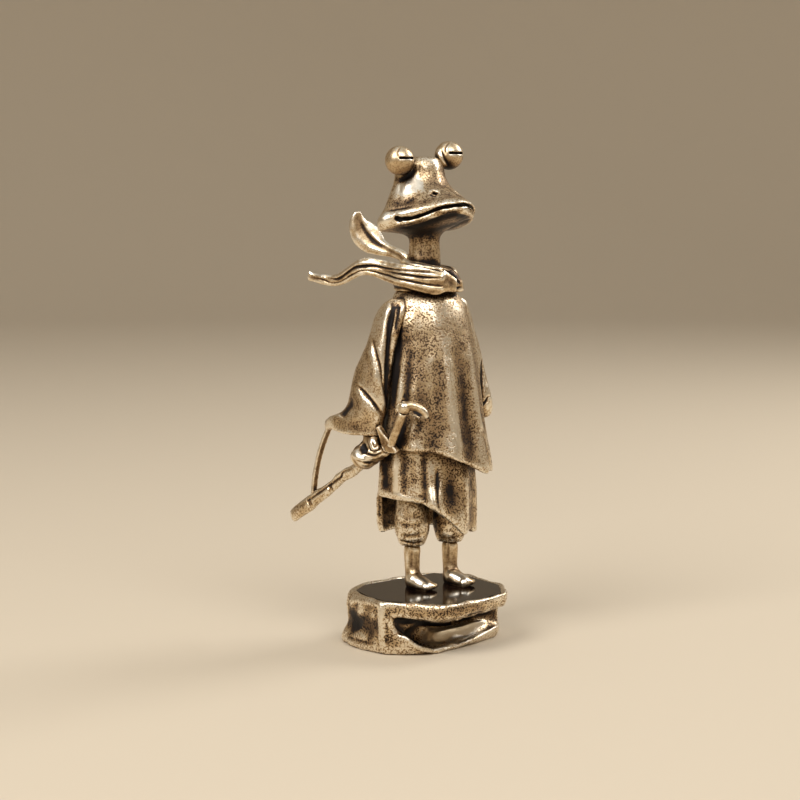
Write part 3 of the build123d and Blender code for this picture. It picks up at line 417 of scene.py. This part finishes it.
# Tooling of each casting: what it is, its depth and width in millimetres, and its line on the picture
TOOLING = {
    "head": (
        ("upper lip", -0.06, 0.7, [(390, 213), (398, 212.5), (410, 211.5), (425, 206.5), (440, 202),
                                   (452, 200), (462, 200), (469, 204)]),
        ("mouth", 0.5, 0.28, [(393, 218.5), (402, 219.5), (410, 218), (420, 216.5), (430, 212), (440, 208),
                              (450, 206), (463, 204.5), (470, 208.5), (475, 214)]),
        ("corner of the mouth", 0.5, 0.45, [(393, 217), (402, 220)]),
        ("lower lip", -0.2, 0.22, [(391, 220.5), (399, 223.7), (410, 222), (425, 217.2), (440, 211.5),
                                   (455, 209.5), (463, 209.3), (472, 215)]),
        ("hollow under the lip", 0.35, 0.6, [(398, 228), (412, 227), (428, 222.5), (443, 217), (457, 215),
                                             (470, 218)]),
        ("crease above the lip", 0.2, 0.35, [(379, 208.5), (390, 210), (400, 208.5), (414, 206.5)]),
        ("hollow under the eye", 0.35, 0.6, [(390, 174), (398, 180), (406, 177), (412, 171), (414, 163)]),
        ("nostril", 0.35, 0.3, [(429, 194), (437, 196)]),
        ("wing of the nostril", -0.15, 0.5, [(427, 191.5), (434, 191), (439, 195)]),
        ("far nose line", 0.12, 0.5, [(440, 182), (452, 191), (462, 198)]),
        ("first cord of the neck", 0.06, 0.3, [(413, 234), (413, 260)]),
        ("second cord of the neck", 0.06, 0.3, [(421, 232), (421, 260)]),
        ("third cord of the neck", 0.06, 0.3, [(431, 232), (430, 260)]),
    ),
    "right_eye": (
        ("edge of the lid", 0.14, 0.2, [(401, 146.5), (397.5, 152), (399.5, 159)]),
    ),
    "left_eye": (
        ("edge of the lid", 0.14, 0.2, [(450, 141.5), (445, 148), (446, 155.5)]),
        ("corner of the lid", -0.3, 0.5, [(437, 149), (441, 158), (446, 169)]),
        ("crease of the lid", 0.2, 0.22, [(441, 149), (444, 158), (449, 167)]),
    ),
    "scarf_wrap": STRANDS + (
        ("low strand", 0.3, 0.24, [(436, 289), (448, 289.5), (457, 288.5), (463, 286)]),
        ("top of the fan", 0.26, 0.22, [(440, 264), (449, 267), (457, 273), (463, 281)]),
        ("middle of the fan", 0.3, 0.22, [(440, 268), (449, 272), (456, 279), (461, 285)]),
        ("foot of the fan", 0.26, 0.22, [(441, 274), (449, 278), (455, 284)]),
    ),
    "scarf_front_tail": STRANDS,
    "scarf_back_tail": (
        ("fold of the leaf", 0.2, 0.4, [(360, 212), (362, 224), (369, 236), (380, 245), (396, 249)]),
    ),
    "outer_robe": (
        ("gap to the right sleeve", 0.7, 0.55, SLEEVE_GAP),
        ("edge beside the gap", 0.45, 0.7, [(400, 286), (399, 305), (397, 330), (396, 365)]),
        ("hollow beside the chest", 0.3, 2.2, [(404, 325), (410, 390)]),
        ("groove down the front", 0.2, 1.4, [(416, 335), (418, 370), (421, 405), (426, 448)]),
        ("ridge down the front", -0.18, 1.2, [(430, 340), (431, 385), (435, 440)]),
        ("fold under the arm", -0.3, 0.8, [(405, 340), (400, 395), (396, 420)]),
        ("groove under the arm", 0.16, 0.8, [(411, 345), (406, 400), (402, 422)]),
        ("hem fold", -0.3, 1.0, [(446, 330), (453, 405), (459, 440), (468, 480)]),
        ("groove of the hem fold", 0.16, 1.0, [(459, 340), (465, 410), (470, 440), (477, 478)]),
        ("side fold", -0.26, 1.0, [(468, 330), (477, 405), (485, 440), (494, 480)]),
        ("hem", -0.07, 0.5, [(380, 448), (410, 449.5), (425, 450.5), (438, 453), (450, 459), (462, 465),
                             (475, 469), (494, 470)]),
        ("line over the hem", 0.1, 0.4, [(404, 445), (430, 446.5), (445, 451), (456, 457), (474, 464)]),
        ("hollow under the hook", 0.5, 0.7, [(412, 409), (424, 414)]),
    ),
    "right_sleeve": (
        ("gap to the robe", 0.8, 0.55, SLEEVE_GAP),
        ("edge beyond the gap", 0.6, 0.8, [(399, 288), (398, 302), (397, 316), (395, 334)]),
        ("elbow crease", 0.42, 0.34, [(372, 338), (376, 355), (380, 368), (384, 385), (386, 404)]),
        ("elbow ridge", -0.1, 0.6, [(368, 338), (373, 362), (379, 392)]),
        ("forearm crease", 0.5, 0.36, [(356, 384), (366, 395), (373, 403), (384, 416)]),
        ("forearm ridge", -0.08, 0.75, [(355, 390), (366, 404), (377, 417)]),
        ("hem", -0.06, 0.4, [(324, 429), (345, 432), (365, 434), (383, 432)]),
        ("inner edge", -0.2, 0.4, [(384, 370), (384.5, 395), (383, 412)]),
        ("hollow over the cuff", 0.3, 1.1, [(354, 400), (341, 417)]),
    ),
    "left_sleeve": (
        ("inner line", 0.4, 0.32, [(477, 310), (481, 345), (482, 370), (481, 404)]),
        ("cuff fold", 0.45, 0.3, [(477, 407), (485, 403), (491, 392)]),
        ("outer ridge", -0.2, 0.5, [(486, 380), (493, 410)]),
    ),
    "under_robe": (
        ("left hollow", 0.25, 1.0, [(384, 455), (385, 495)]),
        ("left fold", -0.34, 0.9, [(393, 440), (396, 470), (396, 506)]),
        ("left groove", 0.2, 0.9, [(404, 440), (404, 475), (404, 506)]),
        ("middle fold", -0.2, 0.8, [(417, 440), (418, 475), (416, 508)]),
        ("middle groove", 0.14, 0.5, [(423, 445), (424.5, 480), (424.5, 512)]),
        ("right fold", -0.14, 0.7, [(431, 450), (431, 485), (432, 515)]),
        ("panel groove", 0.24, 0.4, [(437, 466), (438, 492), (440, 518)]),
        ("front hem", -0.12, 0.4, [(375, 488), (392, 494), (405, 497.5), (420, 500.5), (434, 506)]),
        ("side hem", -0.12, 0.4, [(436, 505), (444, 521), (454, 530.5), (473, 533)]),
        ("panel hollow", 0.1, 1.2, [(447, 476), (452, 500), (456, 526)]),
        ("panel edge", -0.2, 0.6, [(466, 474), (467, 500), (468, 532)]),
    ),
    "right_trouser_leg": (
        ("knee ridge", -0.16, 0.7, [(401, 505), (400, 525), (402, 543)]),
        ("first wrinkle", 0.12, 0.5, [(396, 518), (406, 526), (424, 522)]),
        ("second wrinkle", 0.12, 0.4, [(400, 533), (411, 537), (425, 533)]),
        ("cuff", 0.22, 0.28, [(399, 540), (412, 543.5), (426, 541)]),
    ),
    "left_trouser_leg": (
        ("fold", -0.2, 0.7, [(440, 532), (452, 537)]),
        ("cuff", 0.22, 0.28, [(438, 540), (450, 543.5), (461, 540)]),
    ),
    "right_foot": (
        ("shin bone", -0.1, 0.4, [(407, 549), (407, 571)]),
        ("shin hollow", 0.1, 0.35, [(411.5, 548), (411.5, 572)]),
        ("top of the shoe", 0.08, 0.25, [(400, 570), (409, 573.5), (416, 573.5), (424, 569)]),
        ("seam of the sole", 0.16, 0.22, [(404, 585), (415, 589), (428, 591), (438, 589)]),
    ),
    "left_foot": (
        ("shin hollow", 0.1, 0.35, [(448, 541), (448, 564)]),
        ("top of the shoe", 0.08, 0.25, [(438, 565), (446, 568.5), (453, 568.5), (460, 565)]),
        ("seam of the sole", 0.16, 0.22, [(442, 580), (452, 584), (464, 586), (472, 584)]),
    ),
    "right_hand": (
        ("palm", 0.7, 0.7, [(361, 442), (366, 453)]),
        ("first finger", 0.42, 0.28, [(361, 439), (365, 452), (374, 456), (383, 452), (387, 442)]),
        ("second finger", 0.38, 0.25, [(367, 439), (369, 449), (374, 452), (380, 449), (382, 440)]),
        ("third finger", 0.32, 0.22, [(372, 440), (374, 447), (379, 444)]),
        ("thumb crease", 0.36, 0.3, [(354, 459.5), (364, 463.5), (375, 462)]),
    ),
    "scabbard": (
        ("upper seam", 0.24, 0.24, [(354, 468), (343, 472), (340, 478), (328, 486), (315, 495.5),
                                    (299, 507)]),
    ),
    "rock_base": (
        ("lip", -0.2, 0.7, [(388, 609), (420, 611), (447, 613), (480, 606), (508, 600)]),
        ("groove under the lip", 0.5, 0.45, [(390, 619), (420, 622), (445, 623), (470, 615.5), (504, 606)]),
        ("ledge", -0.35, 0.4, [(384, 617), (395, 630), (408, 640), (420, 648), (432, 650.5), (445, 647),
                               (460, 640), (484, 631)]),
        ("corner", -0.35, 0.6, [(381, 598), (381, 620), (382, 640), (386, 655)]),
        ("hollow of the left face", 0.3, 2.0, [(352, 612), (362, 628)]),
        ("edge of the left face", -0.25, 0.6, [(344, 602), (362, 600), (382, 605)]),
        ("low crack", 0.2, 0.4, [(342, 634), (356, 640), (374, 645)]),
    ),
}
for node, strokes in TOOLING.items():
    castings[node].tool(strokes)
smooth_out((
    ("outer_robe", 25, 0.9, [(380, 448), (410, 449.5), (425, 450.5), (438, 453), (450, 459), (462, 465),
                             (475, 469), (492, 470.5)]),
    ("under_robe", 25, 1.0, [(447, 512), (457, 522), (466, 528), (475, 528)]),
    ("right_foot", 50, 1.0, [(427, 581), (434, 584)]),
    ("left_foot", 50, 1.0, [(465, 577), (472, 581)]),
    ("rock_base", 12, 0.7, [(346, 592), (383, 601), (420, 603), (448, 607), (480, 601), (511, 594)]),
))

# The rock's underside is ground flat
rock = castings["rock_base"]
rock.place[:, 2] = np.maximum(rock.place[:, 2], 0)

# Painted highlights and painted shade, with some buffing of the black finish: places made bright, or dark
# with a negative amount: what it is, amount, width and line
BUFFING_AND_PAINTED_LIGHT = {
    "head": (
        ("brow", 0.85, 1.8, [(392, 192), (408, 187), (428, 180)]),
        ("crown", 0.15, 2.0, [(424, 164), (434, 176)]),
        ("cheek", 0.4, 1.2, [(384, 217)]),
        ("under the eye", -0.7, 0.75, [(391, 174), (399, 180), (407, 177), (413, 169)]),
        ("over the lip", -0.3, 1.3, [(388, 204), (404, 203), (418, 201)]),
        ("upper lip", -0.2, 0.6, [(398, 213), (410, 212), (425, 207), (440, 203), (458, 201)]),
        ("under the lip", -0.7, 0.95, [(396, 228), (412, 227.5), (428, 223), (443, 217.5), (457, 215.5),
                                       (472, 219)]),
        ("under the jaw", -0.3, 1.2, [(398, 232), (430, 230), (455, 224), (476, 219)]),
        ("mouth", -0.6, 0.25, [(393, 218.5), (410, 218), (420, 216.5), (430, 212), (440, 208), (450, 206),
                               (463, 204.5), (470, 208.5), (475, 214)]),
        ("root of the neck", -0.6, 0.7, [(406, 261), (424, 264), (443, 261)]),
    ),
    "scarf_wrap": (
        ("bunch on the far shoulder", -0.75, 1.2, [(444, 264), (452, 272), (458, 279), (463, 285)]),
        ("low roll", 0.4, 0.5, [(440, 292), (452, 293), (464, 290)]),
    ),
    "left_eye": (("corner of the lid", 0.5, 0.4, [(437, 149), (441, 158), (446, 169)]),),
    "outer_robe": (
        ("gap to the right sleeve", -0.9, 0.6, SLEEVE_GAP),
        ("hollow beside the chest", -0.22, 2.0, [(403, 290), (408, 360), (414, 420)]),
        ("edge beside the gap", -1.1, 0.9, [(400, 280), (399, 296), (398, 315), (396.5, 345), (395, 380),
                                            (394, 430)]),
        ("fold under the arm", 0.4, 0.75, [(402, 370), (400, 395), (397, 418)]),
        ("chest", 0.12, 3.0, [(436, 300), (455, 350)]),
        ("hem fold", 0.25, 0.8, [(451, 395), (456, 430), (463, 468)]),
        ("side fold", 0.15, 0.8, [(474, 385), (483, 430), (491, 470)]),
        ("under the hook", -0.9, 0.6, [(412, 408), (424, 414)]),
        ("bright by the grip", 0.45, 0.7, [(412, 420), (408, 430), (404, 438)]),
        ("dark by the grip", -0.5, 0.6, [(421, 416), (418, 430), (410, 444)]),
        ("below the collar", -0.35, 0.6, [(386, 293), (410, 294), (442, 296)]),
        ("hem", -0.3, 0.6, [(380, 449), (410, 450), (438, 454), (462, 466), (496, 471)]),
    ),
    "right_sleeve": (
        ("gap to the robe", -0.9, 0.5, SLEEVE_GAP),
        ("edge beyond the gap", -0.7, 0.7, [(399, 290), (398, 303), (397.5, 315), (396.5, 328),
                                            (395, 345)]),
        ("shoulder", 0.35, 1.1, [(388, 298), (378, 318), (371, 342)]),
        ("hem", -0.35, 0.6, [(320, 431), (345, 434), (365, 436), (388, 434)]),
        ("over the cuff", -0.3, 1.0, [(356, 394), (348, 410), (333, 422)]),
    ),
    "under_robe": (
        ("left hollow", -0.4, 0.9, [(383, 455), (384, 494)]),
        ("left fold", 0.3, 0.6, [(395, 456), (396, 475), (396, 497)]),
        ("left groove", -0.2, 0.8, [(404, 452), (404, 490)]),
        ("front gather", 0.2, 1.0, [(404, 493), (426, 490)]),
        ("panel groove", -0.3, 0.35, [(437, 466), (438, 492), (440, 518)]),
        ("side panel", -0.2, 1.8, [(446, 470), (453, 530)]),
        ("edge of the back flap", -0.5, 0.7, [(379, 490), (380, 508), (381, 532)]),
    ),
    "right_foot": (("shoe", 0.25, 1.0, [(406, 575), (416, 582), (436, 588)]),),
    "left_foot": (("shoe", 0.25, 1.0, [(444, 571), (456, 579), (470, 583)]),),
    "right_hand": (
        ("back of the hand", 0.4, 0.7, [(354, 440), (355, 450), (360, 457), (371, 461)]),
        ("palm", -0.7, 0.6, [(361, 442), (366, 454)]),
    ),
    "rock_base": (
        ("rim", 0.1, 0.5, [(346, 592), (383, 600), (420, 602), (448, 606), (480, 600), (511, 593)]),
        ("corner", 0.25, 0.6, [(381, 600), (381, 620), (382, 646)]),
        ("ledge", 0.3, 0.35, [(384, 617), (395, 630), (408, 640), (420, 648), (432, 650.5), (445, 647),
                              (462, 639)]),
        ("lip", -0.5, 1.0, [(386, 608), (420, 609.5), (447, 611.5), (480, 605), (508, 599)]),
        ("stone in the cave", 1.6, 2.5, [(408, 636), (430, 638), (450, 634), (475, 626), (506, 614)]),
        ("under the lip", -0.9, 0.4, [(390, 620.5), (420, 624), (445, 625), (470, 617.5), (503, 608)]),
        ("left face", -0.4, 1.9, [(350, 608), (362, 632)]),
    ),
}
for node, strokes in BUFFING_AND_PAINTED_LIGHT.items():
    castings[node].buff_and_paint_light(strokes)


# Shelter darkens the brass as painted shade in gaps and under overhangs, standing also for the black left
# where the buff can't reach.  It is felt along lines that spread from a sample of each skin's vertices: how
# many lines, their reach, start off the skin and lean away from it, the size of the sample, the samples
# blended at each vertex and the distance that evens them out, and the share that counts on the rock, whose
# hollow is given less painted shade
SHELTER_LINES = 24
SHELTER_REACH = 7.0
SHELTER_START = 0.3
SHELTER_LEAN = 1.02
SHELTER_SAMPLE = 3000
BLENDED_SAMPLES = 4
BLEND_DISTANCE = 0.05
ROCK_SHELTER = 0.25
SPREAD_SEED = 7


def shelter_of(skins):
    """How closed in each skin is by its neighbours, from 0 in the open to 1 in a deep gap."""
    corners, faces = [], []
    for skin in skins.values():
        skin.normals = skin.settle()
        base = sum(len(block) for block in corners)
        corners.append(skin.place)
        faces += [tuple(base + corner for corner in face) for face in skin.faces]
    tree = BVHTree.FromPolygons(np.vstack(corners).tolist(), faces)
    spread = np.random.default_rng(SPREAD_SEED).normal(size=(SHELTER_LINES, 3))
    spread /= np.linalg.norm(spread, axis=1)[:, None]
    for skin in skins.values():
        step = max(1, len(skin.place) // SHELTER_SAMPLE)
        picked = np.arange(0, len(skin.place), step)
        near = KDTree(len(picked))
        closed = []
        for order, vertex in enumerate(picked):
            start = skin.place[vertex] + SHELTER_START * skin.normals[vertex]
            lines = spread + skin.normals[vertex] * SHELTER_LEAN
            lines /= np.linalg.norm(lines, axis=1)[:, None]
            hits = [tree.ray_cast(start, line, SHELTER_REACH)[3] for line in lines]
            closed.append(sum(1 - hit / SHELTER_REACH for hit in hits if hit is not None) / len(lines))
            near.insert(skin.place[vertex], order)
        near.balance()
        shelter = []
        for place in skin.place:
            found = near.find_n(place, BLENDED_SAMPLES)
            weights = [1 / (gap + BLEND_DISTANCE) for _, _, gap in found]
            total = sum(closed[order] * weight for (_, order, _), weight in zip(found, weights))
            shelter.append(total / sum(weights))
        skin.shelter = np.array(shelter)


shelter_of(castings)
rock.shelter *= ROCK_SHELTER


def linear(code):
    """An sRGB hex colour as linear values with full alpha."""
    shares = [int(code[i:i + 2], 16) / 255 for i in (1, 3, 5)]
    return [share / 12.92 if share <= 0.04045 else ((share + 0.055) / 1.055) ** 2.4
            for share in shares] + [1]


def put(tree, kind, settings=None, stops=(), **sockets):
    """Adds a node, with its settings, its ramp's stops, and its inputs set or linked by name or place."""
    node = tree.nodes.new("ShaderNode" + kind)
    for name, value in (settings or {}).items():
        setattr(node, name, value)
    for i, (place, code) in enumerate(stops):
        element = node.color_ramp.elements[i] if i < 2 else node.color_ramp.elements.new(place)
        element.position = place
        element.color = linear(code)
    for name, value in sockets.items():
        by_place = name.startswith("at") and name[2:].isdigit()
        socket = node.inputs[int(name[2:])] if by_place else node.inputs[name.replace("_", " ")]
        if isinstance(value, bpy.types.NodeSocket):
            tree.links.new(value, socket)
        else:
            socket.default_value = value
    return node


# Sizes of the brass's patterns in millimetres: pits from the sand of the mould, their depth, and clouds where
# they are thicker and the buffing is fainter; and of the lacquer's: its ripples and their height
PIT_SIZE = 0.32
PIT_DEPTH = 0.05
CLOUD_SIZE = 2.4
RIPPLE_SIZE = 4
RIPPLE_HEIGHT = 0.1


def antique_brass(name, pitting, shine):
    """Cast brass, blackened in an acid bath and buffed back: dark in hollows and pits, pale on ridges, with
    painted highlights and painted shade laid over.
    """
    material = bpy.data.materials.new(name)
    material.use_nodes = True
    tree = material.node_tree
    tree.nodes.clear()
    place = put(tree, "TexCoord").outputs["Object"]
    # The relief attribute carries the ridges and hollows, and also the painted highlights and shade of the
    # drawn lines and the painted shade on undersides
    relief = put(tree, "Attribute", {"attribute_name": "relief"}).outputs["Fac"]
    shelter = put(tree, "Attribute", {"attribute_name": "shelter"}).outputs["Fac"]
    pits = put(tree, "TexNoise", Vector=place, Scale=1 / (PIT_SIZE * MM), Detail=1.2,
               Roughness=0.55).outputs["Fac"]
    cloud = put(tree, "TexNoise", Vector=place, Scale=1 / (CLOUD_SIZE * MM), Detail=3.0,
                Roughness=0.6).outputs["Fac"]
    crowd = put(tree, "Math", {"operation": "MULTIPLY_ADD"}, at0=cloud, at1=-0.2, at2=pits).outputs[0]
    pitted = put(tree, "MapRange", {"interpolation_type": "SMOOTHSTEP"}, Value=crowd, From_Min=0.39,
                 From_Max=0.49, To_Min=0.0, To_Max=pitting).outputs["Result"]
    lift = put(tree, "Math", {"operation": "MULTIPLY_ADD"}, at0=cloud, at1=0.4, at2=shine - 0.2).outputs[0]
    raised = put(tree, "Math", {"operation": "ADD"}, at0=relief, at1=lift).outputs[0]
    # Painted shade: the tone is darkened where the skin is closed in by its neighbours, in gaps and under
    # overhangs; this also stands for the black left where the buff can't reach
    closed = put(tree, "Math", {"operation": "MULTIPLY_ADD"}, at0=shelter, at1=-0.9, at2=raised).outputs[0]
    bare = put(tree, "Math", {"operation": "SUBTRACT", "use_clamp": True}, at0=closed,
               at1=pitted).outputs[0]
    # From the blackened hollow and painted shade to the bare ridge and painted highlight
    tone = put(tree, "ValToRGB", stops=((0.0, "#140d0c"), (1.0, "#f5ebd8"), (0.2, "#36281f"),
                                        (0.4, "#765f47"), (0.6, "#ad9270"), (0.8, "#d8c19c")),
               Fac=bare).outputs["Color"]
    rough = put(tree, "MapRange", Value=bare, From_Min=0.0, From_Max=1.0, To_Min=0.58,
                To_Max=0.28).outputs["Result"]
    metal = put(tree, "MapRange", Value=bare, From_Min=0.0, From_Max=0.35, To_Min=0.5,
                To_Max=1.0).outputs["Result"]
    bump = put(tree, "Bump", {"invert": True}, Strength=0.7, Distance=PIT_DEPTH * MM,
               Height=pitted).outputs["Normal"]
    skin = put(tree, "BsdfPrincipled", Base_Color=tone, Metallic=metal, Roughness=rough, Normal=bump)
    put(tree, "OutputMaterial", Surface=skin.outputs["BSDF"])
    return material


def dark_lacquer():
    """Brown-black lacquer poured level inside the rim: a deep, even, wet gloss."""
    material = bpy.data.materials.new("poured_dark_lacquer")
    material.use_nodes = True
    tree = material.node_tree
    tree.nodes.clear()
    place = put(tree, "TexCoord").outputs["Object"]
    ripple = put(tree, "TexNoise", Vector=place, Scale=1 / (RIPPLE_SIZE * MM), Detail=2.0).outputs["Fac"]
    tone = put(tree, "ValToRGB", stops=((0.35, "#0f0806"), (0.65, "#1c100a")), Fac=ripple).outputs["Color"]
    bump = put(tree, "Bump", Strength=0.1, Distance=RIPPLE_HEIGHT * MM, Height=ripple).outputs["Normal"]
    skin = put(tree, "BsdfPrincipled", Base_Color=tone, Roughness=0.1, IOR=1.3, Normal=bump)
    put(tree, "OutputMaterial", Surface=skin.outputs["BSDF"])
    return material


# Finishes of the brass: how dark its pits are, and how far it is buffed back
sand_cast_brass = antique_brass("sand_cast_antique_brass", 0.46, 0.6)
pitted_brass = antique_brass("pitted_antique_brass", 0.44, 0.69)
grained_brass = antique_brass("grained_antique_brass", 0.3, 0.65)
buffed_brass = antique_brass("buffed_antique_brass", 0.12, 0.58)
FINISHES = dict.fromkeys(("right_trouser_leg", "left_trouser_leg", "under_robe", "outer_robe"), pitted_brass)
FINISHES.update(dict.fromkeys(("head", "right_sleeve", "left_sleeve", "scabbard"), grained_brass))
FINISHES["rock_base"] = sand_cast_brass

# What bares or blackens the brass: relief that is fine and broad, by rounds of softening, millimetres of it
# for the full tone, and share of the tone; and the share of painted shade that darkens undersides
FINE_RELIEF = (8, 0.05, 0.22)
BROAD_RELIEF = (50, 0.2, 0.32)
UNDERSIDE_PAINTED_SHADE = 0.25

for node, casting in castings.items():
    # The tone starts from the painted highlights and shade, with some buffing, of the drawn lines
    relief = casting.buffing_and_painted_light.copy()
    for rounds, full_height, share in (FINE_RELIEF, BROAD_RELIEF):
        relief += np.clip(casting.relief(rounds) / full_height, -1, 1) * share
    # Painted shade: skin that faces down is darkened
    relief -= UNDERSIDE_PAINTED_SHADE * np.clip(-casting.settle()[:, 2], 0, 1)
    for label, values in (("relief", relief), ("shelter", casting.shelter)):
        layer = casting.mesh.attributes.new(label, "FLOAT", "POINT")
        layer.data.foreach_set("value", values.astype(np.float32))
    casting.mesh.polygons.foreach_set("use_smooth", np.ones(len(casting.mesh.polygons), bool))
    casting.mesh.materials.clear()
    casting.mesh.materials.append(FINISHES.get(node, buffed_brass))
    piece = bpy.data.objects.new(node + "_cast", casting.mesh)
    scene.collection.objects.link(piece)
    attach(piece, "root")
    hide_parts(node)

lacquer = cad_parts["rock_top_lacquer"]
lacquer.data.materials.clear()
lacquer.data.materials.append(dark_lacquer())


def matt_board(name, code):
    """Matt painted board: an even pale surface that only takes the shadow."""
    material = bpy.data.materials.new(name)
    material.use_nodes = True
    tree = material.node_tree
    tree.nodes.clear()
    skin = put(tree, "BsdfPrincipled", Base_Color=linear(code), Roughness=0.9)
    put(tree, "OutputMaterial", Surface=skin.outputs["BSDF"])
    return material


# Studio: a level floor that sweeps up into a round wall, in metres
FLOOR_RADIUS = 0.9
SWEEP_RADIUS = 0.6
WALL_TOP = 1.6
TURNS = 96
sweep = [(FLOOR_RADIUS + SWEEP_RADIUS * math.sin(turn), SWEEP_RADIUS * (1 - math.cos(turn)))
         for turn in np.linspace(0, math.pi / 2, 16)] + [(FLOOR_RADIUS + SWEEP_RADIUS, WALL_TOP)]
spokes = [(math.cos(turn), math.sin(turn)) for turn in np.arange(TURNS) * 2 * math.pi / TURNS]
studio_points = [(radius * x, radius * y, height) for radius, height in sweep for x, y in spokes]
studio_faces = [tuple(range(TURNS))]
for ring in range(len(sweep) - 1):
    inner, outer = ring * TURNS, (ring + 1) * TURNS
    for i in range(TURNS):
        j = (i + 1) % TURNS
        studio_faces.append((inner + j, inner + i, outer + i, outer + j))
studio_mesh = bpy.data.meshes.new("studio_sweep")
studio_mesh.from_pydata(studio_points, [], studio_faces)
studio_mesh.polygons.foreach_set("use_smooth", np.ones(len(studio_faces), bool))
studio_mesh.materials.append(matt_board("matt_pale_board", "#c8baa4"))
studio = bpy.data.objects.new("studio_sweep", studio_mesh)
scene.collection.objects.link(studio)


def soft_box(name, place, aim, size, power):
    """A round soft box at a place in metres, turned towards its aim."""
    data = bpy.data.lights.new(name, "AREA")
    data.shape = "DISK"
    data.size = size
    data.energy = power
    holder = bpy.data.objects.new(name, data)
    scene.collection.objects.link(holder)
    holder.location = place
    holder.rotation_euler = (Vector(aim) - Vector(place)).to_track_quat("-Z", "Y").to_euler()


FIGURE_MIDDLE = (0, 0, 0.05)
soft_box("key_soft_box", (-0.55, -0.05, 0.55), FIGURE_MIDDLE, 0.45, 4.0)
soft_box("front_soft_box", (-0.15, -0.6, 0.7), FIGURE_MIDDLE, 0.6, 3.2)
soft_box("side_soft_box", (0.5, -0.1, 0.4), FIGURE_MIDDLE, 0.3, 1.8)

world = bpy.data.worlds.new("studio")
scene.world = world
world.use_nodes = True
tree = world.node_tree
tree.nodes.clear()
glow = put(tree, "Background", Color=linear("#e4e2de"), Strength=0.7)
put(tree, "OutputWorld", Surface=glow.outputs["Background"])

camera_data = bpy.data.cameras.new("photo_camera")
camera_data.sensor_width = SENSOR_WIDTH
camera_data.lens = SENSOR_WIDTH * PICTURE_FOCUS / PICTURE_WIDTH
camera_data.shift_x = (PICTURE_WIDTH / 2 - PICTURE_MIDDLE[0]) / PICTURE_WIDTH
camera_data.clip_start = 0.01
camera = bpy.data.objects.new("photo_camera", camera_data)
scene.collection.objects.link(camera)
camera.location = CAMERA_PLACE * MM
camera.rotation_euler = (math.pi / 2 - CAMERA_TILT, 0, -CAMERA_HEADING)
scene.camera = camera
scene.view_settings.view_transform = "Standard"
